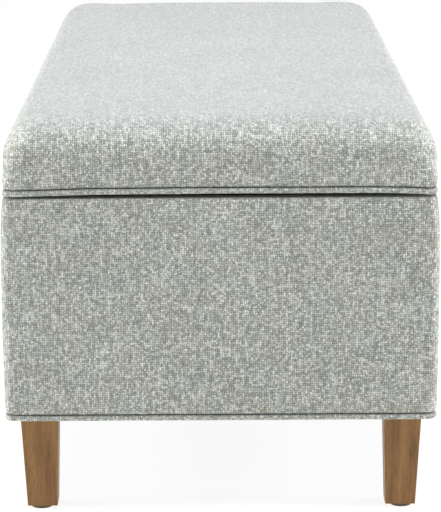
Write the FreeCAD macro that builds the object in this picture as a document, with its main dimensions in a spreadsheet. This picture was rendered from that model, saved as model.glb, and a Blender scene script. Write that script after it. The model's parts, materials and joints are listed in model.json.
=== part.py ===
import FreeCAD, Part
import math
import os
import Sketcher

# Storage ottoman: a padded, fabric-covered box on four tapered legs, with a thick padded lid on
# three butt hinges along the back and a folding stay inside each end.
# X runs along the bench, -Y is the front, +Y the hinge side, and the origin is on the floor
# under the middle of the whole object, hinge knuckles included. Millimetres.

DIMENSIONS = [
    ("overall_length", 1140, "end face to end face"),
    ("face_depth", 457, "front face to back face"),
    ("overall_height", 422, "floor to the top of the lid"),
    ("lid_gap", 4, "open line between base and lid"),
    ("lid_thickness", 76, "underside of the lid to its top"),
    ("rim_height", "=overall_height - lid_thickness - lid_gap", "top edge of the base"),
    ("corner_radius", 12, "upright corners of the base, and of the lid at the seam"),
    ("cover_thickness", 1.2, "upholstery fabric"),
    ("pad_thickness", 8, "foam on the outside of the boards"),
    ("panel_thickness", 15, "boards of the box"),
    ("floor_thickness", 9, "floor panel"),
    ("lining_thickness", 1, "cloth inside the box"),
    ("dust_thickness", 0.8, "cloth under the base"),
    ("dust_inset", 12, "edge of the dust cover from the faces"),
    ("piping_radius", 3, "covered cord along the bottom edges"),
    ("seam_gap", 0.3, "room between a piping and the cloth folded behind it"),
    ("seam_return", 20, "cloth folded under an edge, measured from the face"),
    ("block_size", 50, "side of a corner block"),
    ("block_height", 30, "height of a corner block"),
    ("cleat_size", 20, "side of a cleat"),
    ("rail_width", 22, "centre rail"),
    ("floor_clearance", 1, "floor panel to the boards around it"),
    ("leg_inset", 15.5, "outer side of a leg's top from the faces"),
    ("leg_top", 40, "side of a leg at the top"),
    ("leg_taper_out", 5.5, "how far the outer sides of a leg draw in"),
    ("leg_taper_in", 2.5, "how far the inner sides of a leg draw in"),
    ("leg_edge", 1.5, "rounded long edges of a leg"),
    ("leg_length", 99, "wooden part of a leg"),
    ("glide_height", 4, "glide under a leg"),
    ("glide_radius", 11, "glide"),
    ("nail_radius", 1.2, "glide nail"),
    ("nail_length", 14, "glide nail in the leg"),
    ("bolt_radius", 4, "leg bolt"),
    ("bolt_in_leg", 35, "depth of the bolt in the leg"),
    ("nut_flange", 9, "radius of the tee nut's flange"),
    ("nut_flange_height", 1.5, "tee nut"),
    ("nut_barrel", 5.5, "radius of the tee nut's barrel"),
    ("nut_length", 13, "tee nut with its flange"),
    ("fit_clearance", 0.08, "around pins, screws and bolts"),
    ("lid_edge", 38, "rounding of the lid's top edges"),
    ("lid_corner", 42, "upright corners of the lid at the top"),
    ("board_thickness", 15, "lid board"),
    ("wadding_thickness", 4, "soft wrap over the lid foam"),
    ("lid_return", 26, "cloth folded under the lid, measured from the face"),
    ("bumper_radius", 5, "rubber bumper"),
    ("bumper_gap", 0.3, "bumper to the rim when the lid is down"),
    ("bumper_inset", 70, "bumper from the end faces"),
    ("hinge_offset", 4.5, "hinge line behind the back faces"),
    ("hinge_spacing", 400, "middle hinge to outer hinge"),
    ("hinge_width", 64, "hinge along the bench"),
    ("leaf_thickness", 1.5, "hinge leaf"),
    ("leaf_reach", 27, "hinge line to the free edge of a leaf"),
    ("knuckle_radius", 3.5, "hinge knuckle"),
    ("knuckle_gap", 0.25, "between two knuckles"),
    ("leaf_notch", 0.5, "room around the other leaf's knuckles"),
    ("hinge_pin", 1.5, "radius of the hinge pin"),
    ("pin_head_radius", 2.6, "radius of the hinge pin's head"),
    ("pin_head_height", 1.2, "height of the hinge pin's head"),
    ("hinge_screw_length", 14, "hinge screws"),
    ("hinge_screw_pitch", 22, "between two hinge screws"),
    ("stay_lid_reach", 150, "hinge line forward to the lid pivot"),
    ("stay_lid_drop", 12, "hinge line down to the lid pivot"),
    ("stay_base_reach", 60, "hinge line forward to the base pivot"),
    ("stay_base_drop", 104, "hinge line down to the base pivot"),
    ("stay_plate", 2, "stay bracket"),
    ("stay_arm", 2.5, "thickness of an arm"),
    ("stay_gap", 0.5, "between two layers of a stay"),
    ("arm_radius", 7, "rounded end of an arm"),
    ("stay_pin", 3, "radius of a stay pivot"),
    ("rivet_radius", 5, "radius of a rivet head"),
    ("rivet_height", 1.4, "height of a rivet head"),
    ("open_pivot_clearance", 0.3, "upper arm around the lid pivot"),
    ("bracket_half", 22, "half the side of a base bracket"),
    ("bracket_round", 4, "rounded corners of a base bracket"),
    ("flange_width", 22, "lid bracket along the bench"),
    ("flange_half", 20, "half a lid bracket across the bench"),
    ("flange_screw_in", 13, "screws of a lid bracket from its wing"),
    ("bracket_screw_length", 13, "stay bracket screws"),
    ("bracket_screw_out", 13, "screws of a bracket from its middle"),
    ("frame_screw_length", 45, "screws that join the boards"),
    ("frame_screw_low", 36, "lowest frame screw above the boards' lower edge"),
    ("frame_screw_high", 43.8, "highest frame screw below the boards' upper edge"),
    ("board_height", "=rim_height - glide_height - leg_length - dust_thickness"
     " - 2 * cover_thickness", "boards of the box"),
    ("frame_screw_pitch", "=(board_height - frame_screw_low - frame_screw_high) / 2",
     "between two frame screws"),
    ("block_screw_in", 36, "block screws from the boards' inner side"),
    ("block_screw_low", 8, "lower block screw above the block's underside"),
    ("block_screw_high", 22, "upper block screw above the block's underside"),
    ("block_screw_bite", 10, "block screw in the board"),
]

SCREWS = {  # head radius, head height, shank radius
    "hinge": (3.2, 1.5, 1.6),
    "bracket": (3.6, 2.0, 1.8),
    "frame": (4.0, 3.0, 2.0),
}

document = FreeCAD.newDocument("StorageOttoman")
sheet = document.addObject("Spreadsheet::Sheet", "Sizes")
sub_parts = {}


class Size:
    """A length with its number and the formula on the sheet that gives it."""

    def __init__(self, number, formula):
        self.number = number
        self.formula = formula

    def join(self, sign, other, swapped=False):
        other = as_size(other)
        first, second = (other, self) if swapped else (self, other)
        a, b = first.number, second.number
        number = {"+": a + b, "-": a - b, "*": a * b}[sign]
        return Size(number, f"({first.formula} {sign} {second.formula})")

    def __add__(self, other):
        return self.join("+", other)

    def __radd__(self, other):
        return self.join("+", other, True)

    def __sub__(self, other):
        return self.join("-", other)

    def __rsub__(self, other):
        return self.join("-", other, True)

    def __mul__(self, other):
        return self.join("*", other)

    def __rmul__(self, other):
        return self.join("*", other, True)

    def __neg__(self):
        return self.join("*", -1, True)


def as_size(value):
    return value if isinstance(value, Size) else Size(float(value), f"({float(value)})")


def fill_sheet():
    """Writes each size with its name and note. A size that follows from others is a formula."""
    for row, (name, value, note) in enumerate(DIMENSIONS, start=1):
        sheet.set(f"A{row}", name)
        sheet.set(f"C{row}", note)
        sheet.setAlias(f"B{row}", name)
    for row, (name, value, note) in enumerate(DIMENSIONS, start=1):
        sheet.set(f"B{row}", str(value))
    document.recompute()
    return {name: Size(float(sheet.get(name)), f"Sizes.{name}") for name, _, _ in DIMENSIONS}


class Names:
    """The sheet's values, read as attributes."""

    def __init__(self, named):
        self.__dict__.update(named)


d = Names(fill_sheet())

# Levels and faces that several pieces share.
half_length = 0.5 * d.overall_length
knuckle_reach = d.hinge_offset + d.knuckle_radius
front = -0.5 * d.face_depth - 0.5 * knuckle_reach
back = front + d.face_depth
base_low = d.glide_height + d.leg_length
block_low = base_low + d.dust_thickness
panel_low = block_low + d.cover_thickness
block_top = block_low + d.block_height
floor_top = block_top + d.floor_thickness
panel_top = d.rim_height - d.cover_thickness
piping_top = base_low + 2 * d.piping_radius
lid_low = d.rim_height + d.lid_gap
lid_board_low = lid_low + d.cover_thickness
lid_board_top = lid_board_low + d.board_thickness
lid_seam = lid_low + 2 * d.piping_radius
hinge_y = back + d.hinge_offset
hinge_z = d.rim_height + 0.5 * d.lid_gap

# Distances inwards from the outer faces.
pad_out = d.cover_thickness
panel_out = pad_out + d.pad_thickness
panel_in = panel_out + d.panel_thickness
room_in = panel_in + d.lining_thickness
seam_out = 2 * d.piping_radius + d.seam_gap
seam_in = seam_out + d.cover_thickness
block_in = panel_in + d.block_size
leg_centre = d.leg_inset + 0.5 * d.leg_top
rim_middle = panel_out + 0.5 * d.panel_thickness

DIRECTIONS = {
    "+x": FreeCAD.Rotation(FreeCAD.Vector(0, 1, 0), 90),
    "-x": FreeCAD.Rotation(FreeCAD.Vector(0, 1, 0), -90),
    "+y": FreeCAD.Rotation(FreeCAD.Vector(1, 0, 0), -90),
    "-y": FreeCAD.Rotation(FreeCAD.Vector(1, 0, 0), 90),
    "+z": FreeCAD.Rotation(),
    "-z": FreeCAD.Rotation(FreeCAD.Vector(1, 0, 0), 180),
}


def bind(item, name, value):
    item.setExpression(name, as_size(value).formula)


def place(item, point, direction="+z"):
    item.Placement = FreeCAD.Placement(FreeCAD.Vector(), DIRECTIONS[direction])
    for letter, value in zip("xyz", point):
        bind(item, f"Placement.Base.{letter}", value)
    return item


def keep(item, node):
    """Makes this object the sub-part of that name."""
    item.Label = node
    sub_parts[node] = item
    return item


def box(name, low, high):
    item = document.addObject("Part::Box", name)
    for side, start, end in zip(("Length", "Width", "Height"), low, high):
        bind(item, side, end - start)
    return place(item, low)


def cylinder(name, start, direction, radius, length):
    item = document.addObject("Part::Cylinder", name)
    bind(item, "Radius", radius)
    bind(item, "Height", length)
    return place(item, start, direction)


def cone(name, start, direction, wide, narrow, length):
    item = document.addObject("Part::Cone", name)
    bind(item, "Radius1", wide)
    bind(item, "Radius2", narrow)
    bind(item, "Height", length)
    return place(item, start, direction)


def fuse(name, pieces):
    item = document.addObject("Part::MultiFuse", name)
    item.Shapes = pieces
    return item


def cut(name, base, tools):
    item = document.addObject("Part::Cut", name)
    item.Base = base
    item.Tool = tools[0] if len(tools) == 1 else group(name + "_tools", tools)
    return item


def group(name, pieces):
    item = document.addObject("Part::Compound", name)
    item.Links = pieces
    return item


def stepped(name, start, direction, steps):
    """Stacks cylinders, given as radius and length, along one direction from a point."""
    axis = {"x": 0, "y": 1, "z": 2}[direction[1]]
    sign = -1 if direction[0] == "-" else 1
    pieces = []
    point = [as_size(value) for value in start]
    for number, (radius, length) in enumerate(steps):
        pieces.append(cylinder(f"{name}_step{number}", tuple(point), direction, radius, length))
        point[axis] = point[axis] + sign * as_size(length)
    return fuse(name, pieces)


def screw(name, start, direction, kind, length):
    """One countersunk screw and the hole it needs, both from the top of its head inwards."""
    head, head_height, shank = SCREWS[kind]
    room = d.fit_clearance
    body = fuse(name, [
        cone(name + "_head", start, direction, head, shank, head_height),
        cylinder(name + "_shank", start, direction, shank, length),
    ])
    hole = fuse(name + "_hole", [
        cone(name + "_sink", start, direction, head + room, shank + room, head_height),
        cylinder(name + "_bore", start, direction, shank + room, length + room),
    ])
    return body, hole


def new_sketch(body, name, role, offset):
    sketch = body.newObject("Sketcher::SketchObject", name)
    plane = [item for item in body.Origin.OriginFeatures if item.Role == role][0]
    sketch.AttachmentSupport = (plane, "")
    sketch.MapMode = "FlatFace"
    bind(sketch, "AttachmentOffset.Base.z", offset)
    return sketch


def measure(sketch, kind, *where):
    """Adds a dimension whose last item is a Size, bound to the sheet."""
    value = where[-1]
    index = sketch.addConstraint(Sketcher.Constraint(kind, *where[:-1], value.number))
    sketch.setExpression(f"Constraints[{index}]", value.formula)


def draw_outline(sketch, low, high, radius=None):
    """A rectangle between two corners, with its corners rounded if a radius is given."""
    r = radius.number if radius else 0.0
    x0, y0, x1, y1 = low[0].number, low[1].number, high[0].number, high[1].number
    corners = [(x0, y0), (x1, y0), (x1, y1), (x0, y1)]
    ways = [(1, 0), (0, 1), (-1, 0), (0, -1)]
    point = FreeCAD.Vector
    lines = []
    for (x, y), (across, up), (xn, yn) in zip(corners, ways, corners[1:] + corners[:1]):
        start = point(x + r * across, y + r * up, 0)
        end = point(xn - r * across, yn - r * up, 0)
        lines.append(sketch.addGeometry(Part.LineSegment(start, end)))
    arcs = []
    for turn, (x, y) in enumerate(corners[1:] + corners[:1] if radius else []):
        centre = point(x + r * (-1, -1, 1, 1)[turn], y + r * (1, -1, -1, 1)[turn], 0)
        circle = Part.Circle(centre, point(0, 0, 1), r)
        first = (turn - 1) * math.pi / 2
        arcs.append(sketch.addGeometry(Part.ArcOfCircle(circle, first, first + math.pi / 2)))
    for side in range(4):
        after = lines[(side + 1) % 4]
        if radius:
            sketch.addConstraint(Sketcher.Constraint("Tangent", lines[side], 2, arcs[side], 1))
            sketch.addConstraint(Sketcher.Constraint("Tangent", arcs[side], 2, after, 1))
        else:
            sketch.addConstraint(Sketcher.Constraint("Coincident", lines[side], 2, after, 1))
        flat = "Horizontal" if side % 2 == 0 else "Vertical"
        sketch.addConstraint(Sketcher.Constraint(flat, lines[side]))
    for arc in arcs[1:]:
        sketch.addConstraint(Sketcher.Constraint("Equal", arcs[0], arc))
    if radius:
        measure(sketch, "Radius", arcs[0], radius)
    measure(sketch, "DistanceY", -1, 1, lines[0], 1, low[1])
    measure(sketch, "DistanceX", -1, 1, lines[1], 1, high[0])
    measure(sketch, "DistanceY", -1, 1, lines[2], 1, high[1])
    measure(sketch, "DistanceX", -1, 1, lines[3], 1, low[0])


def draw_circle(sketch, centre, radius):
    middle = FreeCAD.Vector(centre[0].number, centre[1].number, 0)
    circle = sketch.addGeometry(Part.Circle(middle, FreeCAD.Vector(0, 0, 1), radius.number))
    measure(sketch, "Radius", circle, radius)
    measure(sketch, "DistanceX", -1, 1, circle, 3, centre[0])
    measure(sketch, "DistanceY", -1, 1, circle, 3, centre[1])


def draw_arm(sketch, first, second, radius):
    """A straight bar with round ends about two points."""
    run = (second[0].number - first[0].number, second[1].number - first[1].number)
    heading = math.atan2(run[1], run[0])
    normal = FreeCAD.Vector(0, 0, 1)
    ends = []
    for centre, start in ((first, heading + math.pi / 2), (second, heading - math.pi / 2)):
        middle = FreeCAD.Vector(centre[0].number, centre[1].number, 0)
        circle = Part.Circle(middle, normal, radius.number)
        ends.append(sketch.addGeometry(Part.ArcOfCircle(circle, start, start + math.pi)))
        measure(sketch, "DistanceX", -1, 1, ends[-1], 3, centre[0])
        measure(sketch, "DistanceY", -1, 1, ends[-1], 3, centre[1])
    for one, other in (ends, ends[::-1]):
        start = sketch.Geometry[one].EndPoint
        end = sketch.Geometry[other].StartPoint
        side = sketch.addGeometry(Part.LineSegment(start, end))
        sketch.addConstraint(Sketcher.Constraint("Tangent", one, 2, side, 1))
        sketch.addConstraint(Sketcher.Constraint("Tangent", side, 2, other, 1))
    measure(sketch, "Radius", ends[0], radius)


def pad(body, sketch, length):
    feature = body.newObject("PartDesign::Pad", sketch.Name + "_pad")
    feature.Profile = sketch
    bind(feature, "Length", length)
    sketch.Visibility = False
    return feature


def pocket(body, sketch, depth, upward=False):
    feature = body.newObject("PartDesign::Pocket", sketch.Name + "_pocket")
    feature.Profile = sketch
    feature.Reversed = upward
    bind(feature, "Length", depth)
    return feature


def plan(inset):
    """The corners of the ottoman's outline seen from above, drawn in by an inset."""
    inset = as_size(inset)
    return (inset - half_length, front + inset), (half_length - inset, back - inset)


def slab(body, name, bottom, top, outer, inner=None, radius=None):
    """Pads the outline between two levels: a ring if an inner inset is given."""
    sketch = new_sketch(body, name, "XY_Plane", bottom)
    draw_outline(sketch, *plan(outer), radius)
    if inner is not None:
        draw_outline(sketch, *plan(inner))
    return pad(body, sketch, top - bottom)


def rounded_ring(body, name, bottom, top, outer, inner, corner):
    sketch = new_sketch(body, name, "XY_Plane", bottom)
    draw_outline(sketch, *plan(outer), corner - outer)
    draw_outline(sketch, *plan(inner), corner - inner)
    return pad(body, sketch, top - bottom)


def piping(node, level):
    """A round cord along the outline: four straight runs and a quarter turn at each corner."""
    radius = d.piping_radius
    bend = d.corner_radius - radius
    (x0, y0), (x1, y1) = plan(radius)
    span_x = x1 - x0 - 2 * bend
    span_y = y1 - y0 - 2 * bend
    runs = [
        ((x0 + bend, y0), "+x", span_x), ((x1, y0 + bend), "+y", span_y),
        ((x1 - bend, y1), "-x", span_x), ((x0, y1 - bend), "-y", span_y),
    ]
    turns = [
        (x1 - bend, y0 + bend), (x1 - bend, y1 - bend),
        (x0 + bend, y1 - bend), (x0 + bend, y0 + bend),
    ]
    pieces = []
    for number, ((x, y), direction, length) in enumerate(runs):
        name = f"{node}_run{number}"
        pieces.append(cylinder(name, (x, y, level), direction, radius, length))
    for number, (x, y) in enumerate(turns):
        corner = document.addObject("Part::Torus", f"{node}_turn{number}")
        bind(corner, "Radius1", bend)
        bind(corner, "Radius2", radius)
        corner.Angle3 = 90
        quarter = FreeCAD.Rotation(FreeCAD.Vector(0, 0, 1), 90 * number - 90)
        corner.Placement = FreeCAD.Placement(FreeCAD.Vector(), quarter)
        for letter, value in zip("xyz", (x, y, level)):
            bind(corner, f"Placement.Base.{letter}", value)
        pieces.append(corner)
    return keep(fuse(node, pieces), node)


def at_corners(inset):
    """The four points at that inset from two faces, with the signs of X and Y."""
    (x0, y0), (x1, y1) = plan(inset)
    return [(x0, y0, -1, -1), (x1, y0, 1, -1), (x1, y1, 1, 1), (x0, y1, -1, 1)]


def make_boards():
    """The boards of the box, the floor and what carries it, and the screws that join them."""
    (x0, y0), (x1, y1) = plan(panel_out)
    (x2, y2), (x3, y3) = plan(panel_in)
    screws, holes = [], {-1: [], 1: [], "front": [], "back": []}
    for side, x, direction in ((-1, x0, "+x"), (1, x1, "-x")):
        for y, board in ((front + rim_middle, "front"), (back - rim_middle, "back")):
            for step in range(3):
                z = panel_low + d.frame_screw_low + step * d.frame_screw_pitch
                name = f"frame_screw_{board}_{side + 1}_{step}"
                item, hole = screw(name, (x, y, z), direction, "frame", d.frame_screw_length)
                screws.append(item)
                holes[side].append(hole)
                holes[board].append(hole)
    keep(group("frame_screws", screws), "frame_screws")
    boards = {
        "left_panel": box("left_board", (x0, y0, panel_low), (x2, y1, panel_top)),
        "right_panel": box("right_board", (x3, y0, panel_low), (x1, y1, panel_top)),
        "front_panel": box("front_board", (x2, y0, panel_low), (x3, y2, panel_top)),
        "back_panel": box("back_board", (x2, y3, panel_low), (x3, y1, panel_top)),
    }
    tools = {
        "left_panel": holes[-1], "right_panel": holes[1],
        "front_panel": holes["front"], "back_panel": holes["back"],
    }
    return boards, tools


def leg_bolt(number, x, y):
    """A leg bolt, the tee nut it screws into and the hole both need."""
    room = d.fit_clearance
    nut_low = block_top - d.nut_length
    barrel = d.nut_length - d.nut_flange_height
    bore = stepped(f"bolt_bore{number}", (x, y, base_low), "+z", [
        (d.bolt_radius + room, nut_low - base_low),
        (d.nut_barrel + room, barrel),
        (d.nut_flange + room, d.nut_flange_height),
    ])
    blank = stepped(f"nut_body{number}", (x, y, nut_low), "+z", [
        (d.nut_barrel, barrel), (d.nut_flange, d.nut_flange_height)])
    thread = cylinder(
        f"nut_thread{number}", (x, y, nut_low), "+z", d.bolt_radius + room, d.nut_length)
    nut = cut(f"leg_nut{number}", blank, [thread])
    bolt = cylinder(
        f"leg_bolt{number}", (x, y, base_low - d.bolt_in_leg), "+z", d.bolt_radius,
        d.bolt_in_leg + nut_low + barrel - base_low)
    return bolt, nut, bore


def block_screws(number, near_x, near_y, sx, sy):
    """Two screws that run from a block into its end board and its long board."""
    far_x, far_y = near_x - sx * d.block_size, near_y - sy * d.block_size
    ends = (far_x, near_y - sy * d.block_screw_in, block_low + d.block_screw_low)
    sides = (near_x - sx * d.block_screw_in, far_y, block_low + d.block_screw_high)
    length = d.block_size + d.block_screw_bite
    to_end = screw(
        f"block_screw{number}_end", ends, "+x" if sx > 0 else "-x", "frame", length)
    to_side = screw(
        f"block_screw{number}_side", sides, "+y" if sy > 0 else "-y", "frame", length)
    return to_end, to_side


def make_blocks(tools):
    """Corner blocks with their leg bolts and tee nuts, and the screws that hold the blocks."""
    blocks, screws, bolts, nuts, bores = [], [], [], [], []
    for number, (x, y, sx, sy) in enumerate(at_corners(leg_centre)):
        bolt, nut, bore = leg_bolt(number, x, y)
        near_x = sx * (half_length - panel_in)
        near_y = front + panel_in if sy < 0 else back - panel_in
        to_end, to_side = block_screws(number, near_x, near_y, sx, sy)
        tools["left_panel" if sx < 0 else "right_panel"] += [to_end[1], bore]
        tools["front_panel" if sy < 0 else "back_panel"] += [to_side[1], bore]
        far_x, far_y = near_x - sx * d.block_size, near_y - sy * d.block_size
        low = (near_x if sx < 0 else far_x, near_y if sy < 0 else far_y, block_low)
        high = (far_x if sx < 0 else near_x, far_y if sy < 0 else near_y, block_top)
        blank = box(f"block_blank{number}", low, high)
        blocks.append(cut(f"corner_block{number}", blank, [bore, to_end[1], to_side[1]]))
        screws += [to_end[0], to_side[0]]
        bolts.append(bolt)
        nuts.append(nut)
        bores.append(bore)
    keep(group("corner_blocks", blocks), "corner_blocks")
    keep(group("block_screws", screws), "block_screws")
    keep(group("leg_bolts", bolts), "leg_bolts")
    keep(group("leg_nuts", nuts), "leg_nuts")
    return bores


def make_floor():
    (x0, y0), (x1, y1) = plan(panel_in)
    cleat_x = half_length - block_in
    cleat_low = block_top - d.cleat_size
    keep(box("front_cleat", (-cleat_x, y0, cleat_low),
             (cleat_x, y0 + d.cleat_size, block_top)), "front_cleat")
    keep(box("back_cleat", (-cleat_x, y1 - d.cleat_size, cleat_low),
             (cleat_x, y1, block_top)), "back_cleat")
    rail = 0.5 * d.rail_width
    keep(box("centre_rail", (-rail, y0 + d.cleat_size, block_low),
             (rail, y1 - d.cleat_size, block_top)), "centre_rail")
    room = d.floor_clearance
    keep(box("floor_panel", (x0 + room, y0 + room, block_top),
             (x1 - room, y1 - room, floor_top)), "floor_panel")
    (x2, y2), (x3, y3) = plan(room_in)
    keep(box("floor_lining", (x2, y2, floor_top),
             (x3, y3, floor_top + d.lining_thickness)), "floor_lining")


def make_padding():
    """Foam on the outside of each board, stopping short of the rounded corners."""
    low = piping_top + d.cover_thickness
    (x0, y0), (x1, y1) = plan(pad_out)
    (x2, y2), (x3, y3) = plan(panel_out)
    (x4, y4), (x5, y5) = plan(d.corner_radius)
    keep(box("front_pad", (x4, y0, low), (x5, y2, panel_top)), "front_pad")
    keep(box("back_pad", (x4, y3, low), (x5, y1, panel_top)), "back_pad")
    keep(box("left_pad", (x0, y4, low), (x2, y5, panel_top)), "left_pad")
    keep(box("right_pad", (x3, y4, low), (x1, y5, panel_top)), "right_pad")


def seam_fold(body, name, low, seam, outer, inner):
    """The cloth that turns in above a piping, down behind it and back under the edge."""
    thick = d.cover_thickness
    corner = d.corner_radius
    rounded_ring(body, name + "_ledge", seam, seam + thick, outer, seam_in, corner)
    rounded_ring(body, name + "_drop", low, seam + thick, seam_out, seam_in, corner)
    slab(body, name + "_return", low, low + thick, seam_out, inner, corner - seam_out)


def make_base_cloth(hinge_holes, dust_holes, lining_holes):
    thick = d.cover_thickness
    cover = document.addObject("PartDesign::Body", "base_cloth")
    rounded_ring(cover, "base_wall", piping_top, d.rim_height, as_size(0), thick, d.corner_radius)
    slab(cover, "base_rim", panel_top, d.rim_height, as_size(0), panel_in, d.corner_radius)
    seam_fold(cover, "base_fold", block_low, piping_top, as_size(0), d.seam_return)
    keep(cut("base_cover", cover, hinge_holes), "base_cover")
    piping("base_piping", base_low + d.piping_radius)

    lining = document.addObject("PartDesign::Body", "wall_cloth")
    slab(lining, "wall_ring", floor_top, d.rim_height, panel_in, room_in)
    keep(cut("wall_lining", lining, lining_holes), "wall_lining")

    dust = document.addObject("PartDesign::Body", "dust_cloth")
    slab(dust, "dust_sheet", base_low, block_low, d.dust_inset)
    keep(cut("dust_cover", dust, dust_holes), "dust_cover")


def make_leg(node, corner, turn):
    """A square leg whose two outer sides draw in more than its inner sides."""
    body = document.addObject("PartDesign::Body", node + "_body")
    upper = new_sketch(body, node + "_upper", "XY_Plane", base_low)
    start, end = d.leg_inset, d.leg_inset + d.leg_top
    draw_outline(upper, (start, start), (end, end), d.leg_edge)
    lower = new_sketch(body, node + "_lower", "XY_Plane", d.glide_height)
    start, end = start + d.leg_taper_out, end - d.leg_taper_in
    draw_outline(lower, (start, start), (end, end), d.leg_edge)
    loft = body.newObject("PartDesign::AdditiveLoft", node + "_loft")
    loft.Profile = lower
    loft.Sections = [upper]
    loft.Ruled = True
    room = d.fit_clearance
    bolt = new_sketch(body, node + "_bolt_hole", "XY_Plane", base_low)
    draw_circle(bolt, (leg_centre, leg_centre), d.bolt_radius + room)
    pocket(body, bolt, d.bolt_in_leg + room)
    nail = new_sketch(body, node + "_nail_hole", "XY_Plane", d.glide_height)
    draw_circle(nail, (leg_centre, leg_centre), d.nail_radius + room)
    pocket(body, nail, d.nail_length + room, upward=True)
    x, y = corner
    body.Placement = FreeCAD.Placement(
        FreeCAD.Vector(), FreeCAD.Rotation(FreeCAD.Vector(0, 0, 1), 90 * turn))
    bind(body, "Placement.Base.x", x)
    bind(body, "Placement.Base.y", y)
    keep(body, node)


def make_legs():
    names = ["front_left_leg", "front_right_leg", "back_right_leg", "back_left_leg"]
    glides = []
    corners = zip(names, at_corners(0), at_corners(leg_centre))
    for turn, (node, (x, y, _, _), (cx, cy, _, _)) in enumerate(corners):
        make_leg(node, (x, y), turn)
        glides.append(stepped(f"glide{turn}", (cx, cy, 0), "+z", [
            (d.glide_radius, d.glide_height), (d.nail_radius, d.nail_length)]))
    keep(group("leg_glides", glides), "leg_glides")


def lid_block(name, inset, floor=None):
    """The lid's padded shape drawn in by an inset: tight corners at the seam, soft ones on top.

    With a floor level, what lies below it is left out.
    """
    (x0, y0), (x1, y1) = plan(inset)
    top = d.overall_height - inset
    blank = box(name + "_blank", (x0, y0, lid_seam), (x1, y1, top))
    document.recompute()
    upright = document.addObject("Part::Fillet", name + "_corners")
    upright.Base = blank
    low, high = (d.corner_radius - inset).number, (d.lid_corner - inset).number
    edges = []
    for number, edge in enumerate(blank.Shape.Edges, start=1):
        if abs(edge.Vertexes[0].Z - edge.Vertexes[-1].Z) > 1:
            rising = edge.valueAt(edge.FirstParameter).z < edge.valueAt(edge.LastParameter).z
            edges.append((number, low, high) if rising else (number, high, low))
    upright.Edges = edges
    document.recompute()
    rounded = document.addObject("Part::Fillet", name + "_rounded")
    rounded.Base = upright
    radius = (d.lid_edge - inset).number
    ceiling = blank.Shape.BoundBox.ZMax - 0.01
    rounded.Edges = [
        (number, radius, radius) for number, edge in enumerate(upright.Shape.Edges, start=1)
        if edge.BoundBox.ZMin > ceiling
    ]
    if floor is None:
        return rounded
    return cut(name, rounded, [box(name + "_below", (x0, y0, lid_seam), (x1, y1, floor))])


def make_lid(lid_holes):
    thick = d.cover_thickness
    ledge_top = lid_seam + thick
    soft = thick + d.wadding_thickness
    fold = document.addObject("PartDesign::Body", "lid_fold")
    seam_fold(fold, "lid_turn", lid_low, lid_seam, thick, d.lid_return)
    skin = cut("lid_skin", lid_block("lid_shell", as_size(0)), [lid_block("lid_hollow", thick)])
    keep(cut("lid_cover", fuse("lid_cloth", [skin, fold]), lid_holes), "lid_cover")
    piping("lid_piping", lid_low + d.piping_radius)

    wrap = lid_block("lid_wrap", thick, ledge_top)
    keep(cut("lid_wadding", wrap, [lid_block("lid_wrap_hollow", soft)]), "lid_wadding")
    keep(lid_block("lid_foam", soft, lid_board_top), "lid_foam")

    board_in = seam_in + d.seam_gap
    board = document.addObject("PartDesign::Body", "lid_board_blank")
    slab(board, "lid_board_outline", lid_board_low, lid_board_top, board_in,
         radius=d.corner_radius - board_in)
    keep(cut("lid_board", board, lid_holes), "lid_board")

    lining = document.addObject("PartDesign::Body", "lid_lining_cloth")
    slab(lining, "lid_lining_sheet", lid_low, lid_board_low, d.lid_return)
    keep(cut("lid_lining", lining, lid_holes), "lid_lining")

    bumpers = []
    bumper_x = half_length - d.bumper_inset
    for number, x in enumerate((-bumper_x, as_size(0), bumper_x)):
        low = d.rim_height + d.bumper_gap
        start = (x, front + rim_middle, low)
        bumpers.append(cylinder(f"bumper{number}", start, "+z", d.bumper_radius, lid_low - low))
    keep(group("lid_bumpers", bumpers), "lid_bumpers")


def make_leaf(node, x, knuckles, low, holes):
    """A leaf: a plate notched around the other leaf's knuckles, its own knuckles and bore."""
    half = 0.5 * d.hinge_width
    pitch = 0.2 * d.hinge_width
    clear = d.knuckle_radius + d.leaf_notch
    high = low + d.leaf_thickness
    pieces = [box(node + "_plate", (x - half, hinge_y - d.leaf_reach, low),
                  (x + half, hinge_y - clear, high))]
    for number in knuckles:
        start = x - half + number * pitch + 0.5 * d.knuckle_gap
        length = pitch - d.knuckle_gap
        name = f"{node}_knuckle{number}"
        pieces.append(box(name + "_web", (start, hinge_y - clear, low),
                          (start + length, hinge_y, high)))
        pieces.append(cylinder(name, (start, hinge_y, hinge_z), "+x", d.knuckle_radius, length))
    bore = cylinder(node + "_bore", (x - half, hinge_y, hinge_z), "+x",
                    d.hinge_pin + d.fit_clearance, d.hinge_width)
    return keep(cut(node, fuse(node + "_blank", pieces), [bore] + holes), node)


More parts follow.
